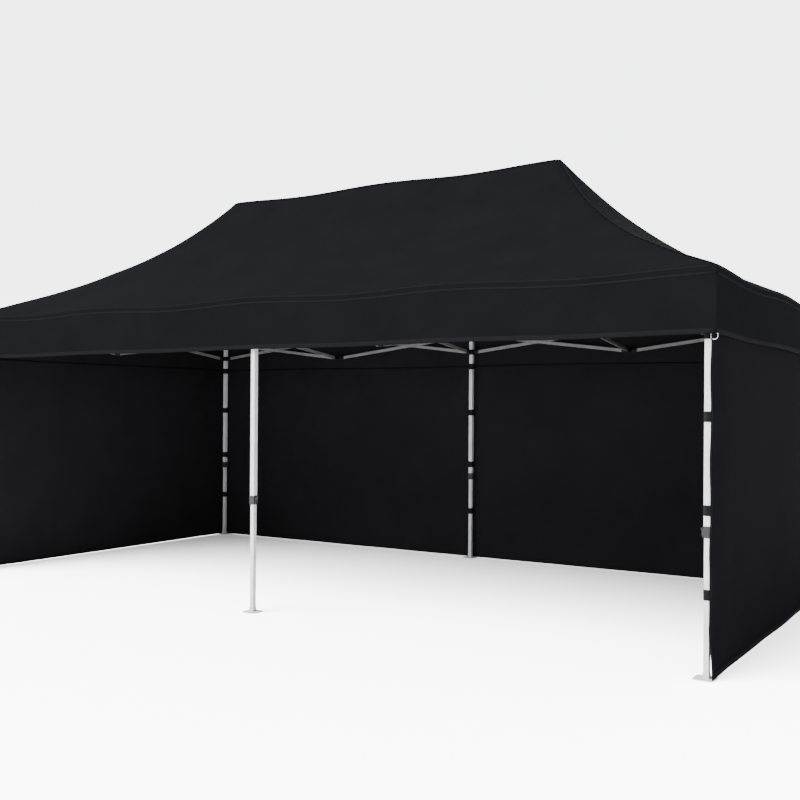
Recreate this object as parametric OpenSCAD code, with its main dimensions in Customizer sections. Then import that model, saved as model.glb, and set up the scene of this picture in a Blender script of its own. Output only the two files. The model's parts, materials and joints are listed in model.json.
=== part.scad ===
// Pop-up gazebo, 3 x 6 m: two-peak fabric roof on six telescopic legs,
// scissor trusses between them, walls on the back and both ends.
// X runs along the long side, Y from the open front to the back, Z up.

/* [Overall] */
// Length of the roof, in mm
length = 6000; // [4000:50:8000]
// Depth of the roof, in mm
depth = 3000; // [2000:50:4000]
// Height of the roof's eave at the corners
eave_z = 2045; // [1800:5:2400]
// Height of the two peaks
peak_z = 3065; // [2400:5:3600]
// Height of the loose valance that hangs from the eave
valance_h = 342; // [150:5:500]
// Share of a straight slope that the lower roof keeps, the rest rises at the peak
slope_share = 0.62; // [0.4:0.01:1]
// Thickness of the fabric solids
fabric_t = 3; // [1:0.5:6]

/* [Scissor trusses] */
// Angle of the bars when the frame is open, in degrees
open_angle = 7; // [5:0.5:14]
// Length of the arm on the leg's side of the crossing
leg_arm = 605; // [500:5:720]
// Height of the pins at the top of each leg
leg_pin_z = 1984; // [1800:1:2400]
// Pin's distance from a leg or mid joint, along the long side
pin_off = 45; // [40:1:60]
// Height of a bar's section
bar_h = 25; // [20:1:30]
// Thickness of a bar
bar_t = 11; // [8:0.5:14]
// Wall of the bars' tube
bar_wall = 1.2; // [1:0.1:2]
// Gap between the two bars of a pair
bar_gap = 2; // [1:0.5:4]
// Radius of the pivot pins
pin_r = 3; // [2:0.5:5]
// Radial clearance of a pin in its bar
pin_clear = 0.05; // [0.01:0.01:0.1]
// Radial clearance where a closed loop is opened at a pin
open_clear = 1.5; // [0.5:0.1:3]

/* [Legs] */
// Side of the square upper tube
upper_w = 32; // [28:1:45]
// Side of the square lower tube
lower_w = 27; // [22:1:38]
// Wall of both tubes
tube_wall = 1.2; // [1:0.1:2]
// Height of the bottom of the height lock
lock_z = 698; // [600:1:800]
// Height of the height lock's collar
lock_h = 56; // [40:1:80]
// Length of lower tube that stays inside the upper one
overlap = 250; // [150:10:400]
// Distance between the height holes
hole_pitch = 93; // [60:1:120]
// Distance of a leg's centre from the roof's edge
leg_inset = 50; // [45:1:90]
// Side of the foot plate
foot_w = 108; // [80:1:150]

/* [Walls] */
// Gap between a wall and the ground
wall_gap = 10; // [5:1:40]
// Height of the Velcro straps that hold the walls to the legs
strap_h = 52; // [30:1:80]

/* [Hidden] */
$fn = 24;
leg_x = length / 2 - leg_inset;             // centre of a corner leg
leg_y = depth / 2 - leg_inset;
cell = leg_x / 2;                    // distance from a leg to a mid joint
span = cell - 2 * pin_off;           // level distance between a bar's end pins
pin_off_y = leg_y - span;            // pin's distance from a leg, across the depth
bar_l = span / cos(open_angle);
mid_arm = bar_l - leg_arm;
cross_z = leg_pin_z - leg_arm * sin(open_angle);
slider_z = cross_z - leg_arm * sin(open_angle);
mid_top_z = cross_z + mid_arm * sin(open_angle);
mid_low_z = cross_z - mid_arm * sin(open_angle);
layer = (bar_gap + bar_t) / 2;       // a bar's offset from its truss's plane
cheek_in = layer + bar_t / 2 + 0.5;  // inner face of the clevis cheeks
cheek_t = 3.5;
sleeve_w = upper_w + 8;
slide_gap = 0.35;                    // between a tube and what slides on it
tube_top = leg_pin_z + 32;
strap_zs = [390, 795, 1270, 1680];

WHITE = [0.86, 0.87, 0.88];
GREY = [0.30, 0.31, 0.33];
BLACK = [0.06, 0.06, 0.07];
CLOTH = [0.12, 0.12, 0.14];

// ---- places ----
LEGS = [["front_left", -1, -1], ["front_middle", 0, -1], ["front_right", 1, -1],
        ["back_left", -1, 1], ["back_middle", 0, 1], ["back_right", 1, 1]];
MIDS = [["front_left", -1, -1], ["front_right", 1, -1],
        ["back_left", -1, 1], ["back_right", 1, 1]];
// the four pairs of bars along each long side: name, leg's x, direction of the mid joint
SIDE_CELLS = [["1", -leg_x, 1], ["2", 0, -1], ["3", 0, 1], ["4", leg_x, -1]];
// the pairs across the depth: name, leg's y, direction of the inner end, layer of bar a
CROSS_CELLS = [["1", -leg_y, 1, 1], ["2", leg_y, -1, -1]];
CROSS_LINES = [["left", -leg_x], ["centre", 0], ["right", leg_x]];

// ---- shared shapes ----
module box(x, y, z) { translate([-x / 2, -y / 2, 0]) cube([x, y, z]); }

module square_tube(w, wall, h) {
    difference() {
        box(w, w, h);
        translate([0, 0, -1]) box(w - 2 * wall, w - 2 * wall, h + 2);
    }
}

// A cylinder along Y, centred
module pin(r, l) { rotate([90, 0, 0]) cylinder(r = r, h = l, center = true); }

// One scissor bar in the XZ plane from the leg's end at the origin, leaning by angle.
// c_leg and c_far are the radial clearances at its ends. A bar with a cross_side carries the
// rivet of its crossing, towards that side, and one with a far_side carries its far end's.
module bar(angle, c_leg, c_far, cross_side = 0, far_side = 0) {
    rotate([0, -angle, 0]) {
        color(WHITE) difference() {
            translate([22, -bar_t / 2, -bar_h / 2]) cube([bar_l - 44, bar_t, bar_h]);
            translate([20, -bar_t / 2 + bar_wall, -bar_h / 2 + bar_wall])
                cube([bar_l - 40, bar_t - 2 * bar_wall, bar_h - 2 * bar_wall]);
            if (cross_side == 0) translate([leg_arm, 0, 0]) pin(pin_r + pin_clear, bar_t + 2);
        }
        color(BLACK) for (end = [[0, 1, c_leg], [bar_l, -1, far_side == 0 ? c_far : 0]])
            translate([end[0], 0, 0]) bar_end(end[1], end[2]);
        // bush inside the tube at the crossing
        color(BLACK) translate([leg_arm, 0, 0]) difference() {
            translate([-14, -bar_t / 2 + bar_wall, -bar_h / 2 + bar_wall])
                cube([28, bar_t - 2 * bar_wall, bar_h - 2 * bar_wall]);
            if (cross_side == 0) pin(pin_r + pin_clear, bar_t + 2);
        }
        color(GREY) {
            if (cross_side != 0) translate([leg_arm, 0, 0]) rivet(cross_side);
            if (far_side != 0) translate([bar_l, 0, 0]) rivet(far_side);
        }
    }
}

// Moulded end of a bar: a round eye with a tongue plugged into the tube
module bar_end(side, clear) {
    difference() {
        union() {
            pin(bar_h / 2, bar_t);
            translate([side > 0 ? 0 : -22, -bar_t / 2, -bar_h / 2]) cube([22, bar_t, bar_h]);
            translate([side > 0 ? 21.9 : -40, -bar_t / 2 + bar_wall, -bar_h / 2 + bar_wall])
                cube([18.1, bar_t - 2 * bar_wall, bar_h - 2 * bar_wall]);
        }
        pin(pin_r + clear, bar_t + 2);
    }
}

// Rivet fixed in a bar and reaching through its partner on that side
module rivet(side) {
    translate([0, side * layer, 0]) pin(pin_r, 2 * layer + bar_t + 1);
    translate([0, side * (2 * layer + bar_t / 2 + 1.5), 0]) pin(8, 2);
    translate([0, -side * (bar_t / 2 + 1), 0]) pin(8, 2);
}

// Two clevis cheeks and their pin along +X from a block's face to the pin at distance d
module clevis(face, d, z, h = 26) {
    color(BLACK) for (s = [-1, 1])
        translate([face - 2, s * (cheek_in + cheek_t / 2) - cheek_t / 2, z - h / 2])
            cube([d - face + 11, cheek_t, h]);
    color(GREY) translate([d, 0, z]) pin(pin_r, 2 * (cheek_in + cheek_t) + 4);
}

// The directions in which trusses leave a leg, as [turn about Z, pin distance]
function truss_dirs(sx, sy) = concat(
    sx < 1 ? [[0, pin_off]] : [], sx > -1 ? [[180, pin_off]] : [],
    [[sy < 0 ? 90 : -90, pin_off_y]]);

// ---- legs ----
module upper_leg(sx, sy) {
    translate([sx * leg_x, sy * leg_y, 0]) {
        color(WHITE) translate([0, 0, lock_z + 6])
            square_tube(upper_w, tube_wall, tube_top - lock_z - 6);
        // head: cap with sockets for the trusses
        color(BLACK) difference() {
            translate([0, 0, leg_pin_z - 15]) box(sleeve_w, sleeve_w, tube_top - leg_pin_z + 19);
            translate([0, 0, leg_pin_z - 16]) box(upper_w, upper_w, tube_top - leg_pin_z + 16);
        }
        for (d = truss_dirs(sx, sy)) rotate([0, 0, d[0]])
            clevis(sleeve_w / 2, d[1], leg_pin_z);
        // height lock: collar round the tube's end, thumb lever and button
        color(GREY) difference() {
            translate([0, 0, lock_z]) box(upper_w + 7, upper_w + 7, lock_h);
            translate([0, 0, lock_z + 6]) box(upper_w, upper_w, lock_h);
            translate([0, 0, lock_z - 1])
                box(lower_w + 2 * slide_gap, lower_w + 2 * slide_gap, 10);
        }
        color(GREY) rotate([0, 0, sx > 0 ? 180 : 0]) translate([upper_w / 2 + 3.4, -11, lock_z + 8]) {
            cube([7, 22, 34]);
            translate([1.5, 1, 22]) rotate([0, 20, 0]) cube([5, 20, 20]);
        }
    }
}

module lower_leg(sx, sy) {
    foot_dx = -sx * 8;
    translate([sx * leg_x, sy * leg_y, 0]) {
        color(WHITE) difference() {
            translate([0, 0, 4]) square_tube(lower_w, tube_wall, lock_z + overlap - 4);
            for (k = [0 : 4]) translate([lower_w / 2, 0, lock_z + 30 - k * hole_pitch])
                rotate([0, 90, 0]) cylinder(r = 4.2, h = 6, center = true);
        }
        // guide plug at the top, inside the upper tube
        color(BLACK) translate([0, 0, lock_z + overlap]) difference() {
            box(upper_w - 2 * tube_wall - 0.8, upper_w - 2 * tube_wall - 0.8, 20);
            translate([0, 0, -1]) box(14, 14, 22);
        }
        // foot plate with rounded corners, two peg holes and a socket
        color(GREY) difference() {
            union() {
                translate([foot_dx, 0, 0]) {
                    box(foot_w, foot_w - 44, 4);
                    box(foot_w - 44, foot_w, 4);
                    for (a = [-1, 1], b = [-1, 1])
                        translate([a, b, 0] * (foot_w / 2 - 22)) cylinder(r = 22, h = 4);
                }
                box(lower_w + 5, lower_w + 5, 30);
            }
            translate([0, 0, 4]) box(lower_w, lower_w, 40);
            for (a = [-1, 1]) translate([foot_dx + a * 38, -a * 38, -1])
                cylinder(r = 5, h = 6);
        }
    }
}

module slider(sx, sy) {
    translate([sx * leg_x, sy * leg_y, 0]) {
        color(BLACK) difference() {
            translate([0, 0, slider_z - 25]) box(sleeve_w, sleeve_w, 47);
            translate([0, 0, slider_z - 30])
                box(upper_w + 2 * slide_gap, upper_w + 2 * slide_gap, 60);
        }
        for (d = truss_dirs(sx, sy)) rotate([0, 0, d[0]])
            clevis(sleeve_w / 2, d[1], slider_z, 24);
        // pull ring of the lock pin, on the outer face
        color(GREY) rotate([0, 0, sy < 0 ? -90 : 90])
            translate([sleeve_w / 2 - 1, 0, slider_z - 6]) rotate([0, 90, 0])
                cylinder(r = 5, h = 9);
    }
}

// ---- mid joints of the long sides ----
module mid_joint(sx, sy, z, top) {
    translate([sx * cell, sy * leg_y, 0]) {
        color(BLACK) translate([0, 0, z - 13]) box(34, 34, top ? 30 : 26);
        for (a = [0, 180]) rotate([0, 0, a]) clevis(17, pin_off, z);
        rotate([0, 0, sy < 0 ? 90 : -90]) clevis(17, pin_off_y, z);
    }
}

// ---- centre hub: joint of the centre trusses, with the post under the ridge ----
module centre_hub() {
    color(BLACK) for (s = [-1, 1])
        translate([s * (cheek_in + cheek_t / 2) - cheek_t / 2, -14, mid_top_z - 13])
            cube([cheek_t, 28, 52]);
    color(BLACK) translate([0, 0, mid_top_z + 22]) box(2 * (cheek_in + cheek_t), 28, 18);
    color(GREY) translate([0, 0, mid_top_z]) rotate([0, 0, 90])
        pin(pin_r, 2 * (cheek_in + cheek_t) + 4);
    color(WHITE) translate([0, 0, mid_top_z + 40]) cylinder(r = 14, h = ridge_post_h());
    color(BLACK) translate([0, 0, mid_top_z + 40 + ridge_post_h() - 12]) cylinder(r = 24, h = 12);
}
function ridge_post_h() = peak_z - 55 - mid_top_z - 40;

// ---- bars ----
// a: from the slider up to the inner top joint. b: from the leg's head down to the inner
// low joint. The rivet of each crossing is fixed in bar a.
module side_bar(sy, leg_x0, dir, is_a, c_leg, c_far) {
    s = is_a ? 1 : -1;
    translate([leg_x0 + dir * pin_off, sy * leg_y + s * layer, is_a ? slider_z : leg_pin_z])
        mirror([dir < 0 ? 1 : 0, 0, 0])
            bar(s * open_angle, c_leg, c_far, is_a ? -1 : 0);
}

// A bar across the depth from the pin at y0. Turned by 90 degrees, the bar's own +Y is -X.
module cross_bar(x0, y0, dir, side, is_a, c_leg, c_far, far_rivet = false) {
    s = is_a ? side : -side;
    translate([x0 + s * layer, y0, is_a ? slider_z : leg_pin_z])
        rotate([0, 0, 90]) mirror([dir < 0 ? 1 : 0, 0, 0])
            bar((is_a ? 1 : -1) * open_angle, c_leg, c_far, is_a ? s : 0, far_rivet ? s : 0);
}

// ---- peak trusses: the four bars under a peak, with their hubs and the pole ----
module peak_truss(sx) {
    x0 = sx * cell;
    for (c = [[-1, 1], [1, -1]], is_a = [true, false])
        cross_bar(x0, 0, c[0], c[1], is_a, pin_clear, open_clear);
    for (z = [leg_pin_z, slider_z]) {
        color(BLACK) for (s = [-1, 1])
            translate([x0 + s * (cheek_in + cheek_t / 2) - cheek_t / 2, -14, z - 14])
                cube([cheek_t, 28, 44]);
        color(BLACK) translate([x0, 0, z + 16]) box(2 * (cheek_in + cheek_t), 28, 14);
        color(GREY) translate([x0, 0, z]) rotate([0, 0, 90])
            pin(pin_r, 2 * (cheek_in + cheek_t) + 4);
    }
    // the pole stands on the lower hub, runs through the upper one and carries the peak's cap
    color(WHITE) translate([x0, 0, slider_z + 30]) cylinder(r = 12, h = leg_pin_z - slider_z - 46);
    color(WHITE) translate([x0, 0, leg_pin_z + 30]) cylinder(r = 12, h = peak_post_h());
    color(BLACK) translate([x0, 0, leg_pin_z + 30 + peak_post_h() - 14])
        cylinder(r = 28, h = 14);
}
function peak_post_h() = peak_z - 60 - leg_pin_z - 30;

// ---- fabric ----
function clamp01(t) = max(0, min(1, t));
function rise(s) = slope_share * s + (1 - slope_share) * pow(s, 3.4);
// height of the roof's outer face
function roof_z(x, y) =
    eave_z + (peak_z - eave_z)
    * rise(clamp01(min(1 - abs(y) / (depth / 2), (length / 2 - abs(x)) / (depth / 2))));

roof_xs = [for (i = [0 : 4]) for (j = [0 : (i < 4 ? 4 : 0)])
    -length / 2 + length / 4 * (i + (j < 5 ? j / 5 : 0))];
roof_ys = [for (j = [0 : 10]) -depth / 2 + depth / 10 * j];

// A closed sheet between the heights roof_z and roof_z - t, on the grid xs by ys
module roof_sheet(xs, ys, t) {
    nx = len(xs); ny = len(ys); n = nx * ny;
    top = [for (x = xs, y = ys) [x, y, roof_z(x, y)]];
    low = [for (x = xs, y = ys) [x, y, roof_z(x, y) - t]];
    function id(i, j) = i * ny + j;
    quads = [for (i = [0 : nx - 2], j = [0 : ny - 2])
        [id(i, j), id(i, j + 1), id(i + 1, j + 1), id(i + 1, j)]];
    // split each square along the diagonal that follows the hips
    function diag(q) = let (p = top[q[0]], r = top[q[2]])
        ((p[0] + r[0]) * (p[1] + r[1]) > 0)
            ? [[q[0], q[1], q[2]], [q[0], q[2], q[3]]]
            : [[q[0], q[1], q[3]], [q[1], q[2], q[3]]];
    upper = [for (q = quads) for (t3 = diag(q)) t3];
    lower = [for (f = upper) [f[2] + n, f[1] + n, f[0] + n]];
    rim = concat(
        [for (i = [0 : nx - 2]) [id(i, 0), id(i + 1, 0), id(i + 1, 0) + n, id(i, 0) + n]],
        [for (i = [0 : nx - 2]) [id(i + 1, ny - 1), id(i, ny - 1),
            id(i, ny - 1) + n, id(i + 1, ny - 1) + n]],
        [for (j = [0 : ny - 2]) [id(0, j + 1), id(0, j), id(0, j) + n, id(0, j + 1) + n]],
        [for (j = [0 : ny - 2]) [id(nx - 1, j), id(nx - 1, j + 1),
            id(nx - 1, j + 1) + n, id(nx - 1, j) + n]]);
    polyhedron(points = concat(top, low), faces = concat(upper, lower, rim), convexity = 6);
}

module canopy() {
    color(CLOTH) {
        roof_sheet(roof_xs, roof_ys, fabric_t + 4);
        // valance: four flat bands that meet at the corners
        for (s = [-1, 1]) {
            translate([0, s * (depth / 2 - fabric_t / 2), eave_z - valance_h])
                box(length, fabric_t, valance_h - 4);
            translate([s * (length / 2 - fabric_t / 2), 0, eave_z - valance_h])
                box(fabric_t, depth - 2 * fabric_t - 0.2, valance_h - 4);
        }
    }
}

wall_top = eave_z - 20;
wall_y = depth / 2 - fabric_t - 3;   // walls hang just inside the valance
wall_x = length / 2 - fabric_t - 3;

// Velcro straps that hold a wall to a leg: bands round the tube, with a tab out to the wall
// that stands at distance d from the leg's centre, in the direction turn
module straps(sx, sy, turn, d) {
    translate([sx * leg_x, sy * leg_y, 0]) for (z = strap_zs) {
        w = (z > lock_z ? upper_w : lower_w) + 1.4;
        translate([0, 0, z]) rotate([0, 0, turn]) difference() {
            union() {
                box(w + 3, w + 3, strap_h);
                translate([w / 2, -w / 2, 0]) cube([d - w / 2, 2, strap_h]);
            }
            translate([0, 0, -1]) box(w, w, strap_h + 2);
        }
    }
}

module back_wall() {
    color(CLOTH) translate([0, wall_y - fabric_t / 2, wall_gap])
        box(2 * wall_x - 2 * fabric_t - 2, fabric_t, wall_top - wall_gap);
    color(CLOTH) straps(0, 1, 90, wall_y - fabric_t - leg_y);
}

module end_walls() {
    color(CLOTH) for (s = [-1, 1]) {
        translate([s * (wall_x - fabric_t / 2), 0, wall_gap])
            box(fabric_t, 2 * wall_y, wall_top - wall_gap);
        for (sy = [-1, 1]) straps(s, sy, s > 0 ? 0 : 180, wall_x - fabric_t - leg_x);
    }
}

canopy();
back_wall();
end_walls();
centre_hub();
peak_truss(-1);  // peak_truss_left
peak_truss(1);  // peak_truss_right
for (l = LEGS) {
    upper_leg(l[1], l[2]);
    lower_leg(l[1], l[2]);
    slider(l[1], l[2]);
}
for (m = MIDS) {
    mid_joint(m[1], m[2], mid_top_z, true);
    mid_joint(m[1], m[2], mid_low_z, false);
}
// Each bar's clearances say how its leg end and its far end are pinned: pin_clear is a
// working pivot, open_clear is one where a closed loop of the linkage is opened.
for (row = [["front", -1], ["back", 1]], c = SIDE_CELLS) {
    outer = c[0] == "1" || c[0] == "4";
    hung = c[0] == "3" && row[1] < 0;  // this bar a carries the front middle slider
    side_bar(row[1], c[1], c[2], true, outer || hung ? pin_clear : open_clear, pin_clear);
    side_bar(row[1], c[1], c[2], false, pin_clear, outer ? open_clear : pin_clear);
}
for (line = CROSS_LINES, c = CROSS_CELLS) {
    centre = line[0] == "centre";
    hung = centre && c[0] == "2";      // this bar a carries the back middle slider
    first = c[0] == "1";
    y0 = c[1] + c[2] * pin_off_y;
    cross_bar(line[1], y0, c[2], c[3], true, hung ? pin_clear : open_clear,
                  centre ? pin_clear : open_clear, first && !centre);
    cross_bar(line[1], y0, c[2], c[3], false, pin_clear, open_clear, first);
}
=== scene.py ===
"""The pop up gazebo's looks: black polyester roof and walls on a white folding frame, in a white studio."""

import json
import math

import bpy
import numpy as np
from mathutils import Euler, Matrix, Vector

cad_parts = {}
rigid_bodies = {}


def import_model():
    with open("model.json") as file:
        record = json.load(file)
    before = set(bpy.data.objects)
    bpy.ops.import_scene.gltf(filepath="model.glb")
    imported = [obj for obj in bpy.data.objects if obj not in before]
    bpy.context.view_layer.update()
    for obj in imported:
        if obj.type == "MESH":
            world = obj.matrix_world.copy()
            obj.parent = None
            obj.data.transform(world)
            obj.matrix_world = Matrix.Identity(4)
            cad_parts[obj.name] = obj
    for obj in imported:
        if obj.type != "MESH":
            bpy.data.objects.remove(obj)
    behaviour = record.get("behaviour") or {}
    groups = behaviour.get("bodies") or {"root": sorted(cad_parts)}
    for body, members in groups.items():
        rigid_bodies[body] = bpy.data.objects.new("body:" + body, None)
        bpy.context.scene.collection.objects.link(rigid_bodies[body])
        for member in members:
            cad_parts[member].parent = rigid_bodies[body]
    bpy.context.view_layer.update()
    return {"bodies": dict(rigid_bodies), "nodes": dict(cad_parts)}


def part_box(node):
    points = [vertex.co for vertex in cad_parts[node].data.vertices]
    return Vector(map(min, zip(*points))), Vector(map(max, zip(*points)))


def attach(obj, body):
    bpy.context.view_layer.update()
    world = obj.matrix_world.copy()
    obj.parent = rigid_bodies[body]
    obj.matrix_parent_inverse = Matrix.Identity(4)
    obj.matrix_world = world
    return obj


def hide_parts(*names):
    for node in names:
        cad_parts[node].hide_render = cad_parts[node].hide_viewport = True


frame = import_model()
BODIES = frame["bodies"]
NODES = frame["nodes"]

# ---------------------------------------------------------------- sizes from the frame
LO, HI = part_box("canopy")
HALF_L, HALF_W = HI[0], HI[1]  # roof's half length and half width
PEAK_Z = HI[2]
HEM_Z = LO[2]  # bottom of the valance


def middle(node):
    a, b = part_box(node)
    return [(a[i] + b[i]) / 2 for i in range(3)]


ROW_X = {"left": -1, "middle": 0, "right": 1}
ROW_Y = {"front": -1, "back": 1}
MID_X = abs(middle("top_joint_back_left")[0])  # the joints between two pairs of bars, and the peaks' poles
LEG_X = 2 * MID_X
LEG_Y = abs(middle("lower_leg_front_left")[1])
EAVE_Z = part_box("back_wall")[1][2] + 0.020
WALL_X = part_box("end_walls")[1][0]
WALL_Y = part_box("back_wall")[1][1]
WALL_Z0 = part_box("end_walls")[0][2] - 0.007  # the cloth just clears the ground
LOCK_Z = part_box("upper_leg_front_middle")[0][2]  # bottom of the height lock
HUB_Z = {"top": middle("top_joint_back_left")[2], "low": middle("low_joint_back_left")[2]}
BAR_T, BAR_H = 0.011, 0.025  # a truss bar's thickness and height
PIN_INSET = BAR_H / 2  # from a bar's round end to its pin
BAR_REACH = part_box("front_bar_3a")[1][0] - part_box("front_bar_3a")[0][0] - BAR_H  # level length, pin to pin
UPPER_W, LOWER_W = 0.032, 0.027  # the leg tubes' widths
FOOT_H = 0.030
LOCK_H = 0.056
CLOTH_T = 0.0014


def smooth(a, b, t):
    t = np.clip((t - a) / (b - a), 0, 1)
    return t * t * (3 - 2 * t)


# ---------------------------------------------------------------- materials
class Nodes:
    """Short names for building a material's nodes."""

    def __init__(self, name):
        self.mat = bpy.data.materials.new(name)
        self.mat.use_nodes = True
        self.tree = self.mat.node_tree
        self.shader = self.tree.nodes["Principled BSDF"]
        self.coords = self.add("ShaderNodeTexCoord").outputs["Object"]

    def add(self, kind, **inputs):
        node = self.tree.nodes.new(kind)
        for key, value in inputs.items():
            self.set(node.inputs[key.replace("_", " ")], value)
        return node

    def set(self, socket, value):
        if isinstance(value, bpy.types.NodeSocket):
            self.tree.links.new(value, socket)
        else:
            socket.default_value = value

    def math(self, op, a, b=0.0, c=0.0):
        node = self.tree.nodes.new("ShaderNodeMath")
        node.operation = op
        for i, v in enumerate((a, b, c)):
            self.set(node.inputs[i], v)
        return node.outputs[0]

    def noise(self, scale, detail=4.0, rough=0.55, stretch=(1, 1, 1)):
        mapping = self.add("ShaderNodeMapping", Vector=self.coords, Scale=stretch)
        node = self.add("ShaderNodeTexNoise", Vector=mapping.outputs[0], Scale=scale, Detail=detail, Roughness=rough)
        return node.outputs["Fac"]

    def ramp(self, fac, a, b, lo=0.0, hi=1.0):
        node = self.tree.nodes.new("ShaderNodeMapRange")
        for key, v in (("Value", fac), ("From Min", a), ("From Max", b), ("To Min", lo), ("To Max", hi)):
            self.set(node.inputs[key], v)
        return node.outputs[0]

    def mix(self, fac, a, b):
        node = self.tree.nodes.new("ShaderNodeMix")
        node.data_type = "RGBA"
        self.set(node.inputs["Factor"], fac)
        self.set(node.inputs["A"], a if isinstance(a, bpy.types.NodeSocket) else (*a, 1))
        self.set(node.inputs["B"], b if isinstance(b, bpy.types.NodeSocket) else (*b, 1))
        return node.outputs["Result"]

    def bump(self, height, strength, distance, under=None):
        node = self.add("ShaderNodeBump", Height=height, Strength=strength, Distance=distance)
        if under is not None:
            self.set(node.inputs["Normal"], under)
        return node.outputs[0]

    def out(self, **values):
        for key, value in values.items():
            socket = self.shader.inputs[key.replace("_", " ")]
            if isinstance(value, tuple) and len(value) == 3:
                value = (*value, 1)
            self.set(socket, value)
        return self.mat


WEAVE = 900.0


def cloth(name, colour, light):
    """Coated polyester: a plain weave, faint mottling and a soft sheen."""
    n = Nodes(name)
    split = n.add("ShaderNodeSeparateXYZ", Vector=n.coords)
    x, y, z = split.outputs
    # threads run along the surface's own two directions: one of them mixes X and Y
    across = n.math("SINE", n.math("MULTIPLY", n.math("ADD", x, y), WEAVE))
    up = n.math("SINE", n.math("MULTIPLY", n.math("SUBTRACT", n.math("ADD", z, x), y), WEAVE))
    threads = n.math("MULTIPLY", across, up)
    blotch = n.noise(3.0, 5.0, 0.6)
    fine = n.noise(160.0, 3.0, 0.6)
    fac = n.math("ADD", n.math("MULTIPLY", blotch, 0.7), n.math("MULTIPLY", fine, 0.3))
    colour_out = n.mix(n.ramp(fac, 0.3, 0.7), colour, light)
    rough = n.ramp(blotch, 0.3, 0.7, 0.62, 0.76)
    creases = n.bump(n.noise(7.0, 6.0, 0.6), 0.22, 0.02)
    return n.out(
        Base_Color=colour_out,
        Roughness=rough,
        Normal=n.bump(threads, 0.25, 0.0006, creases),
        Sheen_Weight=0.001,
        Sheen_Roughness=0.5,
        Specular_IOR_Level=0.0002,
    )


ROOF_CLOTH = cloth("roof_polyester", (0.00125, 0.00130, 0.00155), (0.00170, 0.00175, 0.0021))
WALL_CLOTH = cloth("wall_polyester", (0.0013, 0.00125, 0.00175), (0.0019, 0.0018, 0.0025))
# the coated inside face is a lighter copy of the black cloth: painted light that brightens the shaded inside of the
# tent
CLOTH_BACK_PAINTED_LIGHT = cloth("coated_cloth_back_painted_light", (0.0032, 0.0032, 0.0035), (0.0044, 0.0044, 0.0048))


def seam_tape():
    """Hem tape with two rows of lock stitches."""
    n = Nodes("seam_tape")
    split = n.add("ShaderNodeSeparateXYZ", Vector=n.coords)
    x, y, z = split.outputs
    run = n.math("MULTIPLY", n.math("ADD", n.math("ADD", x, y), n.math("MULTIPLY", z, 0.7)), 1400.0)
    stitch = n.math("GREATER_THAN", n.math("SINE", run), 0.35)
    colour = n.mix(n.math("MULTIPLY", stitch, n.noise(30.0)), (0.0016, 0.0017, 0.0020), (0.0042, 0.0043, 0.0050))
    return n.out(
        Base_Color=colour,
        Roughness=0.6,
        Normal=n.bump(stitch, 0.3, 0.0008),
        Sheen_Weight=0.001,
        Specular_IOR_Level=0.0004,
    )


def webbing():
    """Woven strap with ribs along its length and a hook-and-loop nap."""
    n = Nodes("webbing")
    split = n.add("ShaderNodeSeparateXYZ", Vector=n.coords)
    rib = n.math("SINE", n.math("MULTIPLY", split.outputs[2], 1500.0))
    nap = n.noise(420.0, 2.0, 0.7)
    colour = n.mix(nap, (0.0020, 0.0020, 0.0023), (0.0060, 0.0060, 0.0068))
    return n.out(
        Base_Color=colour,
        Roughness=0.85,
        Normal=n.bump(n.math("ADD", rib, nap), 0.4, 0.0008),
        Sheen_Weight=0.006,
        Specular_IOR_Level=0.002,
    )


SEAM = seam_tape()
WEBBING = webbing()

WHITE, WHITE_SHADE = (0.20, 0.20, 0.205), (0.165, 0.165, 0.172)
# the truss bars are white like the legs: these two greys are painted shade for the shade under the roof
BAR_WHITE_PAINTED_SHADE, BAR_WHITE_PAINTED_SHADE_DARKER = (0.075, 0.075, 0.075), (0.055, 0.055, 0.055)
NYLON, NYLON_LIGHT = (0.0030, 0.0030, 0.0034), (0.0055, 0.0055, 0.0060)
LOCK_GREY, LOCK_GREY_LIGHT = (0.0070, 0.0070, 0.0076), (0.0105, 0.0105, 0.0112)


def two_part(name, mask_of, masked_colour=NYLON, masked_colour_light=NYLON_LIGHT, coat=WHITE, coat_shade=WHITE_SHADE):
    """White powder coat (on the truss bars a grey that is painted shade) with a near-black colour where
    mask_of(nodes) says 1: moulded nylon on most parts, and painted shade on the inner walls of the lower legs' tubes.
    """
    n = Nodes(name)
    mask = mask_of(n)
    paint = n.mix(n.ramp(n.noise(9.0, 6.0, 0.6), 0.35, 0.7), coat, coat_shade)
    rubs = n.ramp(n.noise(38.0, 8.0, 0.75, (1, 1, 0.15)), 0.66, 0.74)
    paint = n.mix(n.math("MULTIPLY", rubs, 0.35), paint, (0.06, 0.06, 0.063))
    # where the mask says 1 this is moulded nylon, and on the lower legs' inner walls it is painted shade
    mould = n.mix(n.noise(60.0, 4.0), masked_colour, masked_colour_light)
    colour = n.mix(mask, paint, mould)
    rough = n.math("ADD", n.ramp(n.noise(25.0), 0.3, 0.7, 0.30, 0.42), n.math("MULTIPLY", mask, 0.16))
    peel = n.bump(n.noise(420.0, 2.0), 0.10, 0.0006)
    return n.out(Base_Color=colour, Roughness=rough, Normal=peel, Specular_IOR_Level=0.06)


def height(n):
    return n.add("ShaderNodeSeparateXYZ", Vector=n.coords).outputs[2]


def near(n, points, reach):
    """1 within reach of any of the points."""
    total = 0.0
    for p in points:
        d = n.tree.nodes.new("ShaderNodeVectorMath")
        d.operation = "DISTANCE"
        n.set(d.inputs[0], n.coords)
        d.inputs[1].default_value = p
        total = n.math("MAXIMUM", n.math("LESS_THAN", d.outputs["Value"], reach), total)
    return total


HEAD_Z = HUB_Z["top"] - 0.0395  # bottom of the moulded head on each leg


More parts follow.
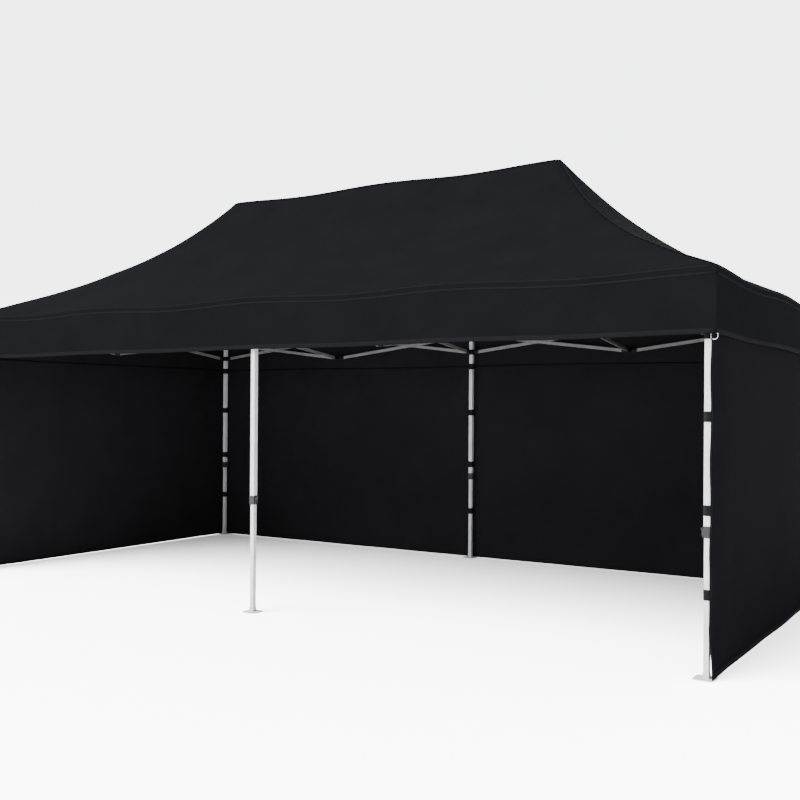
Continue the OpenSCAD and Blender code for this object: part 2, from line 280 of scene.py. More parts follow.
def head_or_lock(n):
    head = n.math("GREATER_THAN", height(n), HEAD_Z)
    return n.math("MAXIMUM", head, n.math("LESS_THAN", height(n), LOCK_Z + LOCK_H + 0.0005))


UPPER_LEG = two_part("upper_leg_finish", head_or_lock, LOCK_GREY, LOCK_GREY_LIGHT)


def lower_leg_coat_with_painted_shade_inside(node):
    """White tube whose inside is painted near-black as painted shade, so that its height holes show dark."""
    x, y = (LEG_X * ROW_X[node.split("_")[-1]], LEG_Y * ROW_Y[node.split("_")[-2]])

    def mask(n):
        split = n.add("ShaderNodeSeparateXYZ", Vector=n.coords).outputs
        off_x = n.math("ABSOLUTE", n.math("SUBTRACT", split[0], x))
        off_y = n.math("ABSOLUTE", n.math("SUBTRACT", split[1], y))
        # the tube's inner walls take the near-black colour: painted shade inside the tube
        inside = n.math("LESS_THAN", n.math("MAXIMUM", off_x, off_y), LOWER_W / 2 - 0.0006)
        return n.math("MULTIPLY", inside, n.math("GREATER_THAN", split[2], FOOT_H))

    return two_part("finish_" + node, mask)


def moulded(name, colour, light, rough=(0.42, 0.55)):
    n = Nodes(name)
    c = n.mix(n.noise(55.0, 5.0), colour, light)
    r = n.ramp(n.noise(30.0), 0.3, 0.7, *rough)
    return n.out(Base_Color=c, Roughness=r, Normal=n.bump(n.noise(700.0, 2.0), 0.15, 0.0004), Specular_IOR_Level=0.03)


NYLON_BLACK = moulded("moulded_nylon", NYLON, NYLON_LIGHT)


def zinc():
    n = Nodes("zinc_plate")
    c = n.mix(n.noise(20.0, 6.0), (0.16, 0.16, 0.165), (0.26, 0.26, 0.265))
    r = n.ramp(n.noise(45.0, 5.0), 0.3, 0.7, 0.30, 0.45)
    return n.out(Base_Color=c, Roughness=r, Metallic=0.9, Normal=n.bump(n.noise(300.0), 0.1, 0.0004))


ZINC = zinc()


# ---------------------------------------------------------------- pieces and how they fold
def new_mesh(name, verts, faces, mat, smooth_shade=True):
    me = bpy.data.meshes.new(name)
    me.from_pydata([tuple(map(float, v)) for v in verts], [], [tuple(map(int, f)) for f in faces])
    me.update()
    if smooth_shade:
        me.polygons.foreach_set("use_smooth", [True] * len(me.polygons))
    ob = bpy.data.objects.new(name, me)
    bpy.context.scene.collection.objects.link(ob)
    me.materials.append(mat)
    return ob


def grid_faces(nu, nv, base=0, flip=False):
    faces = []
    for i in range(nu - 1):
        for j in range(nv - 1):
            a = base + i * nv + j
            f = (a, a + nv, a + nv + 1, a + 1)
            faces.append(f[::-1] if flip else f)
    return faces


def thicken(ob, t=CLOTH_T, offset=0.0, back=None):
    mod = ob.modifiers.new("thickness", "SOLIDIFY")
    mod.thickness = t
    mod.offset = offset
    mod.use_even_offset = False
    if back is not None:
        ob.data.materials.append(back)
        mod.material_offset = 1


def follow(ob, home, weights):
    """The piece rides on body home, and every point is carried by several bodies: weights is
    {body: array of shares}. The bodies that carry fabric only slide, so shares that add up to
    one carry each point between them. At rest nothing moves."""
    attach(ob, home)
    for body, share in weights.items():
        share = np.broadcast_to(np.asarray(share, float), (len(ob.data.vertices),))
        if body == home or share.max() < 1e-4:
            continue
        group = ob.vertex_groups.new(name=body)
        for level in np.unique(np.round(share, 3)):
            if level > 0:
                which = np.nonzero(np.round(share, 3) == level)[0].tolist()
                group.add(which, float(level), "REPLACE")
        hook = ob.modifiers.new("carry_" + body, "HOOK")
        hook.object = BODIES[body]
        hook.vertex_group = group.name
        hook.falloff_type = "NONE"
        hook.center = (0, 0, 0)


def points_of(ob):
    return np.array([v.co[:] for v in ob.data.vertices])


def hat(t, knots, flat=0.0):
    """Shares of each knot at t, as an array of knots by points. They run straight from knot to
    knot. Within flat of a knot, its share is 1, so that the cloth over a joint or a pole goes
    with it in one piece."""
    t = np.clip(t, knots[0], knots[-1])
    out = np.zeros((len(knots), len(t)))
    for i in range(len(knots) - 1):
        a, b = knots[i], knots[i + 1]
        inside = (t >= a) & (t <= b) if i == len(knots) - 2 else (t >= a) & (t < b)
        f = np.clip((t[inside] - a - flat) / (b - a - 2 * flat), 0, 1)
        out[i, inside] += 1 - f
        out[i + 1, inside] += f
    return out


def add_share(total, share, carriers):
    for body, part in carriers:
        total[body] = total.get(body, 0) + share * part


FLAT = 0.08
FOOT_CLEAR = 0.04  # below this the walls go with the feet in one piece
SIDES = {-1: "left", 0: "middle", 1: "right"}
ENDS = {-1: "front", 1: "back"}


def leg(sx, sy, part="upper_leg"):
    return f"{part}_{ENDS[sy]}_{SIDES[sx]}"


def joint(sx, sy, part="top_joint"):
    return f"{part}_{ENDS[sy]}_{SIDES[sx]}"


def roof_weights(p):
    """Shares of the legs, top joints and hub that carry the roof's points."""
    xs, ys = (-LEG_X, -MID_X, 0.0, MID_X, LEG_X), (-LEG_Y, 0.0, LEG_Y)
    hx, hy = hat(p[:, 0], xs, FLAT), hat(p[:, 1], ys, FLAT)
    total = {}
    for i in range(5):
        for j, sy in enumerate((-1, 0, 1)):
            share = hx[i] * hy[j]
            ends = [(-1, 0.5), (1, 0.5)] if sy == 0 else [(sy, 1.0)]
            if i == 2 and sy == 0:
                carriers = [("centre_hub", 1.0)]
            elif i in (0, 4) and sy == 0:
                # the middle of an end moves by both top joints' travel less the hub's, which is home
                carriers = [(joint(i // 2 - 1, e), 1.0) for e in (-1, 1)]
            elif i in (1, 3):
                sx = -1 if i == 1 else 1
                # a peak's pole stands between its four legs
                carriers = (
                    [(leg(k, e), 0.25) for k in (0, sx) for e in (-1, 1)]
                    if sy == 0
                    else [(joint(sx, sy), 1.0)]
                )
            else:
                carriers = [(leg({0: -1, 2: 0, 4: 1}[i], e), w) for e, w in ends]
            add_share(total, share, carriers)
    return total


def drop_share(z):
    """How far a point of a wall goes with the lower legs: all the way at the ground."""
    return np.clip((LOCK_Z - z) / (LOCK_Z - FOOT_CLEAR), 0, 1)


# ---------------------------------------------------------------- roof
SLOPE_SHARE = 0.62  # straight part of a slope, and the rest steepens towards the ridge
SUPPORT_XS = (-HALF_L, -MID_X, 0.0, MID_X, HALF_L)
HIP_ROUND = 0.012
EAVE_SAG, RIDGE_SAG, SLACK = 0.023, 0.020, 0.0035


def rise(s):
    """Share of the roof's rise at share s of the way in from the eave."""
    return SLOPE_SHARE * s + (1 - SLOPE_SHARE) * s**3.4


def between(t, knots):
    """0 at each knot and 1 halfway between two."""
    out = np.zeros_like(t)
    for a, b in zip(knots[:-1], knots[1:]):
        m = (t >= a) & (t <= b)
        out[m] = np.sin(math.pi * (t[m] - a) / (b - a)) ** 2
    return out


def roof_height(x, y):
    """Outer face of the roof: four slopes up to the ridge, with sag between what holds them up."""
    sy, sx = 1 - np.abs(y) / HALF_W, (HALF_L - np.abs(x)) / HALF_W
    # the lower of the two, with the hip between them rounded off
    h = np.clip(0.5 + 0.5 * (sx - sy) / HIP_ROUND, 0, 1)
    s = np.clip(sx * (1 - h) + sy * h - HIP_ROUND * h * (1 - h), 0, 1)
    z = EAVE_Z + (PEAK_Z - EAVE_Z) * rise(s)
    low = np.clip(1 - s, 0, 1) ** 5
    side = between(x, SUPPORT_XS) * (sy <= sx) + between(y, (-HALF_W, 0.0, HALF_W)) * (sx < sy)
    z = z - EAVE_SAG * side * low
    # the ridge dips between the peaks and the post
    z = z - RIDGE_SAG * between(x, (-HALF_W, 0.0, HALF_W)) * np.clip(s, 0, 1) ** 6
    # slack between the eave and the peaks
    wave = np.sin(7.1 * x + 3.0 * y) * np.sin(5.3 * y - 2.2 * x + 0.7)
    wave = wave + 0.6 * np.sin(13.7 * x + 1.3) * np.sin(11.1 * y + 2.1)
    return z + SLACK * wave * (4 * s * (1 - s))


def valance_out(run, drop, seed):
    """How far the loose valance swings out of its plane."""
    soft = np.sin(2.3 * run + seed) + 0.55 * np.sin(5.9 * run + 2.1 * seed) + 0.25 * np.sin(13.1 * run)
    return drop**1.5 * (0.0045 * soft)


STEP = 0.05
NX, NY = round(2 * HALF_L / STEP) + 1, round(2 * HALF_W / STEP) + 1
gx = np.linspace(-HALF_L, HALF_L, NX)
gy = np.linspace(-HALF_W, HALF_W, NY)
X, Y = np.meshgrid(gx, gy, indexing="ij")
Z = roof_height(X.ravel(), Y.ravel())
Z_IN = 0.0015
roof = np.column_stack([X.ravel(), Y.ravel(), Z - Z_IN])
faces = grid_faces(NX, NY)

# the valance hangs from the rim: its rows go down from the roof's own edge points
rim = (
    [i * NY for i in range(NX)]
    + [(NX - 1) * NY + j for j in range(1, NY)]
    + [i * NY + NY - 1 for i in range(NX - 2, -1, -1)]
    + [j for j in range(NY - 2, 0, -1)]
)
ROWS = 14
HEM_LIFT = 0.25  # how much of the eave's sag the hem takes up
VALANCE_IN = 0.002
verts = list(roof)
last = rim
for r in range(1, ROWS + 1):
    t = r / ROWS
    now = []
    for n, v in enumerate(rim):
        x, y, z = roof[v]
        out_x = np.sign(x) if abs(abs(x) - HALF_L) < 1e-6 else 0
        out_y = np.sign(y) if abs(abs(y) - HALF_W) < 1e-6 else 0
        edge = min(1.0, 4 * max(HALF_L - abs(x), HALF_W - abs(y)))
        swing = valance_out((x if out_y else y), t, 1.7 * (out_x + 2 * out_y)) * edge - VALANCE_IN
        # the hem keeps its own line, a little higher where the eave is held up
        bottom = HEM_Z + HEM_LIFT * (z - EAVE_Z)
        now.append(len(verts))
        verts.append((x + out_x * swing, y + out_y * swing, z + (bottom - z) * t))
    for n in range(len(rim)):
        m = (n + 1) % len(rim)
        faces.append((last[n], now[n], now[m], last[m]))
    last = now

roof_cover = new_mesh("roof_cover", verts, faces, ROOF_CLOTH)
AT_EDGE = 0.012


def on_end(p):
    return abs(abs(p.x) - HALF_L) < AT_EDGE


def on_side(p):
    return abs(abs(p.y) - HALF_W) < AT_EDGE


# sharp along the eave and down the valance's four corners
crease = roof_cover.data.attributes.new("sharp_edge", "BOOLEAN", "EDGE")
for e in roof_cover.data.edges:
    a, b = (roof_cover.data.vertices[i].co for i in e.vertices)
    level = abs(a.z - b.z) < 0.004 and min(a.z, b.z) > EAVE_Z - 0.05 and max(e.vertices) < NX * NY
    eave = level and all(on_end(p) or on_side(p) for p in (a, b))
    corner = all(on_end(p) and on_side(p) for p in (a, b))
    crease.data[e.index].value = bool(eave or corner)
follow(roof_cover, "centre_hub", roof_weights(points_of(roof_cover)))
thicken(roof_cover, back=CLOTH_BACK_PAINTED_LIGHT)
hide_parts("canopy")


def strip(name, path, out, width, mat, home, weigh, t=0.0012, down=None):
    """A flat tape along path, width wide across the direction down, raised along out."""
    path, out = np.array(path, float), np.array(out, float)
    if down is None:
        tangent = np.gradient(path, axis=0)
        tangent /= np.linalg.norm(tangent, axis=1)[:, None]
        down = np.cross(tangent, out)
    down = np.broadcast_to(down, path.shape)
    down = down / np.linalg.norm(down, axis=1)[:, None]
    cols = [path + down * (f * width / 2) + out * (t if abs(f) < 1 else t * 0.3) for f in (-1, -0.85, 0, 0.85, 1)]
    v = np.stack(cols, 1).reshape(-1, 3)
    ob = new_mesh(name, v, grid_faces(len(path), 5), mat)
    follow(ob, home, weigh(points_of(ob)))
    thicken(ob, 0.0008)
    return ob


def normal_of(p):
    """Outward normal of the roof at points p."""
    d = 0.02
    x, y = p[:, 0], p[:, 1]
    dx = (roof_height(x + d, y) - roof_height(x - d, y)) / (2 * d)
    dy = (roof_height(x, y + d) - roof_height(x, y - d)) / (2 * d)
    n = np.column_stack([-dx, -dy, np.ones(len(x))])
    return n / np.linalg.norm(n, axis=1)[:, None]


def roof_path(a, b, count):
    t = np.linspace(0, 1, count)
    x, y = a[0] + (b[0] - a[0]) * t, a[1] + (b[1] - a[1]) * t
    return np.column_stack([x, y, roof_height(x, y) - Z_IN])


PEAK_X = HALF_L - HALF_W
for sx in (-1, 1):
    for sy in (-1, 1):
        p = roof_path((sx * PEAK_X, 0), (sx * (HALF_L - 0.01), sy * (HALF_W - 0.01)), 60)
        strip(f"hip_seam_{ENDS[sy]}_{SIDES[sx]}", p, normal_of(p), 0.016, SEAM, "centre_hub", roof_weights)
p = roof_path((-PEAK_X, 0), (PEAK_X, 0), 70)
up = np.tile((0, 0, 1.0), (len(p), 1))
strip("ridge_seam", p, up, 0.016, SEAM, "centre_hub", roof_weights, down=np.array([0, 1.0, 0]))

# tapes along the valance: under the eave, above the hook-and-loop band, and at the hem
for label, t0, width in (("eave", 0.02, 0.010), ("band", 0.125, 0.012), ("hem", 0.958, 0.026)):
    for name, axis, sign in (("front", 1, -1), ("back", 1, 1), ("left", 0, -1), ("right", 0, 1)):
        half = HALF_L if axis == 1 else HALF_W
        u = np.linspace(-half + 0.004, half - 0.004, 90)
        if axis == 1:
            x, y = u, np.full_like(u, sign * HALF_W)
        else:
            x, y = np.full_like(u, sign * HALF_L), u
        z = roof_height(x, y) - Z_IN
        zb = HEM_Z + HEM_LIFT * (z - EAVE_Z)
        edge = np.minimum(1.0, 4 * (half - np.abs(u)))
        ox, oy = (sign, 0) if axis == 0 else (0, sign)
        swing = valance_out(u, t0, 1.7 * (ox + 2 * oy)) * edge - VALANCE_IN
        out = np.tile((ox, oy, 0.0), (len(u), 1)).astype(float)
        p = np.column_stack([x, y, z + (zb - z) * t0]) + out * (swing[:, None] + 0.0009)
        strip(f"{label}_tape_{name}", p, out, width, SEAM, "centre_hub", roof_weights, down=np.array([0, 0, 1.0]))


# ---------------------------------------------------------------- walls
def wall_weights(p, carriers):
    """carriers: (share per point, leg sx, leg sy). The lower part goes with the lower legs."""
    low = drop_share(p[:, 2])
    total = {}
    for share, sx, sy in carriers:
        add_share(total, share * (1 - low), [(leg(sx, sy), 1.0)])
        add_share(total, share * low, [(leg(sx, sy, "lower_leg"), 1.0)])
    return total


def end_wall_weights(sx):
    def weigh(p):
        hy = hat(p[:, 1], (-LEG_Y, LEG_Y), FLAT)
        return wall_weights(p, [(hy[0], sx, -1), (hy[1], sx, 1)])

    return weigh


def back_wall_weights(p):
    hx = hat(p[:, 0], (-LEG_X, 0.0, LEG_X), FLAT)
    return wall_weights(p, [(hx[0], -1, 1), (hx[1], 0, 1), (hx[2], 1, 1)])


def wall_swell(u, v, half, seed):
    """How far a wall stands out of its plane: u along it, v from 0 at the ground to 1."""
    free = np.clip((half - np.abs(u)) * 2.5, 0, 1)
    folds = np.sin(3.1 * u + seed) * (0.5 + 0.5 * np.cos(2.6 * v + seed)) + 0.5 * np.sin(7.3 * u - 2.0 * v + seed)
    return 0.0045 * folds * free * (1 - 0.6 * v)


WALL_TOP = EAVE_Z - 0.020
EDGE_PULL = 0.012  # how far the straps pull an end wall's front edge in towards the leg
STRAP_ZS = (0.390, 0.807, 1.270, 1.680)  # the second just clears the folded slider below it
STRAP_H = 0.052
WALL_IN = 0.0025  # walls hang this far inside their CAD solid's outer face


def wall(name, axis, sign, half, at, weigh, edge_bulge=None):
    """A hung wall across the given axis at distance at, with its hems."""
    nu, nv = int(half * 2 / 0.05) + 1, 42
    u = np.linspace(-half, half, nu)
    v = np.linspace(0, 1, nv)
    U, V = np.meshgrid(u, v, indexing="ij")
    U, V = U.ravel(), V.ravel()
    out = at - WALL_IN + wall_swell(U, V, half, 1.3 * sign + axis) - 0.0035
    if edge_bulge is not None:
        out = out + edge_bulge(U, V)
    z = WALL_Z0 + (WALL_TOP - WALL_Z0) * V
    p = np.column_stack([sign * out, U, z] if axis == 0 else [U, sign * out, z])
    # faces turn outwards, so the thickness modifier's other side is the inside
    ob = new_mesh(name, p, grid_faces(nu, nv, flip=(sign > 0) == (axis == 1)), WALL_CLOTH)
    follow(ob, "centre_hub", weigh(points_of(ob)))
    thicken(ob, back=CLOTH_BACK_PAINTED_LIGHT)
    # hems along the ground and the two upright edges
    for label, keep, width in (
        ("hem", np.abs(V) < 1e-9, 0.030),
        ("edge_a", np.abs(U + half) < 1e-9, 0.026),
        ("edge_b", np.abs(U - half) < 1e-9, 0.026),
    ):
        path = p[keep]
        o = np.tile((sign, 0.0, 0.0) if axis == 0 else (0.0, sign, 0.0), (len(path), 1))
        level = np.array([0, 1.0, 0]) if axis == 0 else np.array([1.0, 0, 0])
        down = np.array([0, 0, 1.0]) if label == "hem" else level
        shift = width / 2 * (1 if label in ("hem", "edge_a") else -1)
        strip(f"{name}_{label}", path + down * shift + o * 0.0008, o, width, SEAM, "centre_hub", weigh, down=down)
    return ob


def hem_line_painted_shade(name, axis, sign, half, at, weigh):
    """A dark tape strip just inside the wall at the valance hem's height: painted shade for the line that the hem
    presses into the wall behind it.
    """
    u = np.linspace(-half, half, 80)
    z = HEM_Z + 0.006 + 0.004 * np.sin(2.1 * u)
    out = at - 0.0095 + wall_swell(u, (z - WALL_Z0) / (WALL_TOP - WALL_Z0), half, 1.3 * sign + axis)
    p = np.column_stack([sign * out, u, z] if axis == 0 else [u, sign * out, z])
    o = np.tile((-sign, 0.0, 0.0) if axis == 0 else (0.0, -sign, 0.0), (len(p), 1))
    strip(name, p, o, 0.012, SEAM, "centre_hub", weigh, down=np.array([0, 0, 1.0]))


def front_edge_bulge(u, v):
    """The free front edge of an end wall is pulled in to the leg, and bows between the straps."""
    held = tuple((z + STRAP_H / 2 - WALL_Z0) / (WALL_TOP - WALL_Z0) for z in STRAP_ZS)
    wave = np.zeros_like(v)
    knots = (0.0,) + held + (1.0,)
    for a, b in zip(knots[:-1], knots[1:]):
        m = (v >= a) & (v <= b)
        wave[m] = np.sin(math.pi * (v[m] - a) / (b - a)) ** 2
    near_edge = smooth(0.30, 0.0, u + WALL_Y)
    return -(EDGE_PULL + 0.006 * wave) * near_edge * smooth(0.0, 0.13, v) * smooth(1.0, 0.88, v)


back = wall("back_wall_cloth", 1, 1, WALL_X - 0.0066, WALL_Y, back_wall_weights)
ends = [
    wall(f"{side}_wall_cloth", 0, s, WALL_Y - 0.002, WALL_X, end_wall_weights(s), front_edge_bulge)
    for side, s in (("left", -1), ("right", 1))
]
# dark strips inside the walls: painted shade where the valance hems press
hem_line_painted_shade("back_wall_hem_painted_shade", 1, 1, WALL_X - 0.05, WALL_Y, back_wall_weights)
for side, s in (("left", -1), ("right", 1)):
    hem_line_painted_shade(f"{side}_wall_hem_painted_shade", 0, s, WALL_Y - 0.06, WALL_X, end_wall_weights(s))
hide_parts("back_wall")
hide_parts("end_walls")


# ---------------------------------------------------------------- straps
def strap(name, sx, sy, z, toward):
    """A hook-and-loop strap wrapped round a leg, with its tab running out to the wall."""
    w = (UPPER_W if z > LOCK_Z else LOWER_W) / 2 + 0.0018
    cx, cy = sx * LEG_X, sy * LEG_Y
    reach = (WALL_X - LEG_X if toward[0] else WALL_Y - LEG_Y) - 0.009 - (EDGE_PULL if sy < 0 else 0)
    r = 0.006
    # the way round the tube in the strap's own plane, as a rounded square
    ring = []
    for k, (ax, ay) in enumerate(((1, -1), (1, 1), (-1, 1), (-1, -1))):
        for a in np.linspace(-math.pi / 2 + k * math.pi / 2, k * math.pi / 2, 5):
            ring.append((ax * (w - r) + r * math.cos(a), ay * (w - r) + r * math.sin(a)))
    ring.append(ring[0])
    # the tab leaves the ring on the wall's side
    tab = [(w + 0.0012, -w * 0.2), (w + 0.004, -w * 0.6), (reach, -w * 0.85)]
    path = np.array([(w + 0.002, w * 0.7), (w + 0.0016, 0.0)] + tab)
    ca, sa = toward
    for label, line in (("band", np.array(ring)), ("tab", path)):
        x = cx + ca * line[:, 0] - sa * line[:, 1]
        y = cy + sa * line[:, 0] + ca * line[:, 1]
        heights = [np.full(len(line), z + STRAP_H * f) for f in np.linspace(0, 1, 7)]
        rows = [np.column_stack([x, y, h]) for h in heights]
        v = np.stack(rows, 1).reshape(-1, 3)
        ob = new_mesh(f"{name}_{label}", v, grid_faces(len(line), 7), WEBBING)
        # less than the wall's share, so that the lowest strap stays under the height lock
        low = max(0.0, (LOCK_Z - z) / LOCK_Z)
        follow(ob, "centre_hub", {leg(sx, sy): 1 - low, leg(sx, sy, "lower_leg"): low})
        thicken(ob, 0.0016, 1.0 if label == "band" else 0.0)


for sx in (-1, 1):
    for sy in (-1, 1):
        for i, z in enumerate(STRAP_ZS):
            strap(f"strap_{ENDS[sy]}_{SIDES[sx]}_{i + 1}", sx, sy, z, (sx, 0))
for i, z in enumerate(STRAP_ZS):
    strap(f"strap_back_middle_{i + 1}", 0, 1, z, (0, 1))


# ---------------------------------------------------------------- peak trusses
def pin_heights():
    """Heights of the pins at the legs and at the mid joints, from the bars' own boxes."""
    a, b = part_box("front_bar_3a"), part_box("front_bar_3b")
    return {
        "leg_low": a[0][2] + PIN_INSET,
        "mid_top": a[1][2] - PIN_INSET,
        "leg_top": b[1][2] - PIN_INSET,
        "mid_low": b[0][2] + PIN_INSET,
    }


PINS = pin_heights()


def rounded_bar(name, a, b, mat, home, carriers_a, carriers_b):
    """A flat-sided tube between pins a and b, with round ends and bevelled edges."""
    a, b = np.array(a), np.array(b)
    along = (b - a) / np.linalg.norm(b - a)
    side = np.array([1.0, 0, 0])
    up = np.cross(side, along)
    length = np.linalg.norm(b - a)
    outline = []
    for k in range(9):
        t = math.pi / 2 + math.pi * k / 8
        outline.append((PIN_INSET * math.cos(t), PIN_INSET * math.sin(t)))
    for f in np.linspace(0.03, 0.97, 12):
        outline.append((f * length, -PIN_INSET))
    for k in range(9):
        t = -math.pi / 2 + math.pi * k / 8
        outline.append((length + PIN_INSET * math.cos(t), PIN_INSET * math.sin(t)))
    for f in np.linspace(0.97, 0.03, 12):
        outline.append((f * length, PIN_INSET))
    n = len(outline)
    bev = 0.0012
    verts, share = [], []
    for dx, inset in ((-BAR_T / 2, bev), (-BAR_T / 2 + bev, 0), (BAR_T / 2 - bev, 0), (BAR_T / 2, bev)):
        for u, w in outline:
            verts.append(a + along * u + up * w * (1 - inset / PIN_INSET) + side * dx)
            share.append(min(1, max(0, u / length)))
    faces = []
    for r in range(3):
        for i in range(n):
            j = (i + 1) % n
            faces.append((r * n + i, r * n + j, (r + 1) * n + j, (r + 1) * n + i))
    faces.append(tuple(range(n - 1, -1, -1)))
    faces.append(tuple(3 * n + i for i in range(n)))
    ob = new_mesh(name, verts, faces, mat, False)
    share = np.array(share)
    total = {}
    add_share(total, 1 - share, carriers_a)
    add_share(total, share, carriers_b)
    follow(ob, home, total)
    return ob


def lathe(name, x, y, profile, mat, home, carriers, seg=24):
    """A turned piece on an upright axis. profile is (radius, height) from the bottom up."""
    verts, faces = [], []
    for r, z in profile:
        for k in range(seg):
            t = 2 * math.pi * k / seg
            verts.append((x + r * math.cos(t), y + r * math.sin(t), z))
    for i in range(len(profile) - 1):
        for k in range(seg):
            m = (k + 1) % seg
            faces.append((i * seg + k, i * seg + m, (i + 1) * seg + m, (i + 1) * seg + k))
    faces.append(tuple(range(seg - 1, -1, -1)))
    faces.append(tuple((len(profile) - 1) * seg + k for k in range(seg)))
    ob = new_mesh(name, verts, faces, mat)
    follow(ob, home, {b: w for b, w in carriers})
    return ob


def block(name, lo, hi, mat, home, carriers):
    """A moulded block with rounded edges."""
    lo, hi = np.array(lo), np.array(hi)
    verts = [(x, y, z) for x in (lo[0], hi[0]) for y in (lo[1], hi[1]) for z in (lo[2], hi[2])]
    faces = [(0, 1, 3, 2), (4, 6, 7, 5), (0, 4, 5, 1), (2, 3, 7, 6), (0, 2, 6, 4), (1, 5, 7, 3)]
    ob = new_mesh(name, verts, faces, mat, False)
    follow(ob, home, {b: w for b, w in carriers})
    mod = ob.modifiers.new("rounding", "BEVEL")
    mod.width = 0.002
    mod.segments = 2
    return ob


LAYER = 0.0065  # the two bars of a pair lie this far to either side of the truss's plane
HUB_T, HUB_W = 0.0018, 0.0143  # half thickness of a hub's cheek, and its distance from the plane
CAP_Z = PEAK_Z - 0.062
for sx in (-1, 1):
    side = SIDES[sx]
    x0 = sx * MID_X
    home = joint(sx, -1)
    pole_legs = [(leg(k, e), 0.25) for k in (0, sx) for e in (-1, 1)]
    pole_sliders = [(leg(k, e, "slider"), 0.25) for k in (0, sx) for e in (-1, 1)]
    # the bars' grey coat is painted shade for the shade under the roof
    bar_mat = two_part(
        f"peak_bar_finish_{side}",
        lambda n: near(
            n,
            [(x0, 0, PINS["leg_top"]), (x0, 0, PINS["leg_low"])]
            + [(x0, s * BAR_REACH, PINS[k]) for s in (-1, 1) for k in ("mid_top", "mid_low")],
            0.0235,
        ),
        coat=BAR_WHITE_PAINTED_SHADE,
        coat_shade=BAR_WHITE_PAINTED_SHADE_DARKER,
    )
    first = None
    for sy in (-1, 1):
        for kind in ("a", "b"):
            off = LAYER * (1 if (kind == "a") == (sy < 0) else -1)
            inner = PINS["leg_low"] if kind == "a" else PINS["leg_top"]
            outer = PINS["mid_top"] if kind == "a" else PINS["mid_low"]
            ob = rounded_bar(
                f"peak_bar_{ENDS[sy]}_{side}_{kind}",
                (x0 + off, 0, inner),
                (x0 + off, sy * BAR_REACH, outer),
                bar_mat,
                home,
                pole_sliders if kind == "a" else pole_legs,
                [(joint(sx, sy, "top_joint" if kind == "a" else "low_joint"), 1.0)],
            )
            first = first or ob
    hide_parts(f"peak_truss_{side}")
    for label, z, carriers in (("upper", PINS["leg_top"], pole_legs), ("lower", PINS["leg_low"], pole_sliders)):
        hub = f"peak_hub_{label}_{side}"
        for cheek, s in (("in", -1), ("out", 1)):
            c = x0 + s * HUB_W
            lo, hi = (c - HUB_T, -0.014, z - 0.014), (c + HUB_T, 0.014, z + 0.030)
            block(f"{hub}_{cheek}", lo, hi, NYLON_BLACK, home, carriers)
        lo, hi = (x0 - 0.0175, -0.0145, z + 0.016), (x0 + 0.0175, 0.0145, z + 0.031)
        block(f"{hub}_top", lo, hi, NYLON_BLACK, home, carriers)
    top = PINS["leg_top"] + 0.031
    tube = [(0.0, top), (0.012, top), (0.012, CAP_Z), (0.0, CAP_Z)]
    lathe(f"peak_pole_{side}", x0, 0, tube, ZINC, home, pole_legs)
    knob = [(0.0, -0.02), (0.016, -0.02), (0.016, -0.004), (0.022, 0), (0.020, 0.006), (0.0, 0.010)]
    knob = [(r, CAP_Z + z) for r, z in knob]
    lathe(f"peak_cap_{side}", x0, 0, knob, NYLON_BLACK, home, pole_legs)


# ---------------------------------------------------------------- CAD nodes' finishes, with painted shade on the truss bars and inside the lower legs
def node_bar_coat_with_painted_shade(node):
    """White tube painted grey as painted shade for the shade under the roof, with black end mouldings."""
    lo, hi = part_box(node)
    line = 0 if hi[0] - lo[0] > hi[1] - lo[1] else 1
    other = (lo[1 - line] + hi[1 - line]) / 2
    rising = node.endswith("a")
    # the leg's end of the bar, along the line
    if line == 0:
        cell_legs = {"1": -1, "2": 1, "3": -1, "4": 1}
        leg_end_low = cell_legs[node[-2]] < 0
    else:
        leg_end_low = node[-2] == "1"
    ends_at = (lo[line] + PIN_INSET, hi[line] - PIN_INSET)
    near_leg, far = ends_at if leg_end_low else ends_at[::-1]
    z_leg, z_far = (PINS["leg_low"], PINS["mid_top"]) if rising else (PINS["leg_top"], PINS["mid_low"])
    pts = []
    for u, z in ((near_leg, z_leg), (far, z_far)):
        p = [0, 0, z]
        p[line], p[1 - line] = u, other
        pts.append(tuple(p))
    return two_part("finish_" + node, lambda n: near(n, pts, 0.0238), coat=BAR_WHITE_PAINTED_SHADE, coat_shade=BAR_WHITE_PAINTED_SHADE_DARKER)


def set_material(node, mat):
    ob = NODES[node]
    if not ob.material_slots:
        ob.data.materials.append(mat)
    for s in ob.material_slots:
        s.material = mat


for node in NODES:
    if "_bar_" in node:
        set_material(node, node_bar_coat_with_painted_shade(node))
    elif node.startswith("upper_leg"):
        set_material(node, UPPER_LEG)
    elif node.startswith("lower_leg"):
        set_material(node, lower_leg_coat_with_painted_shade_inside(node))
    elif node.startswith(("slider", "top_joint", "low_joint", "centre_hub")):
        set_material(node, NYLON_BLACK)


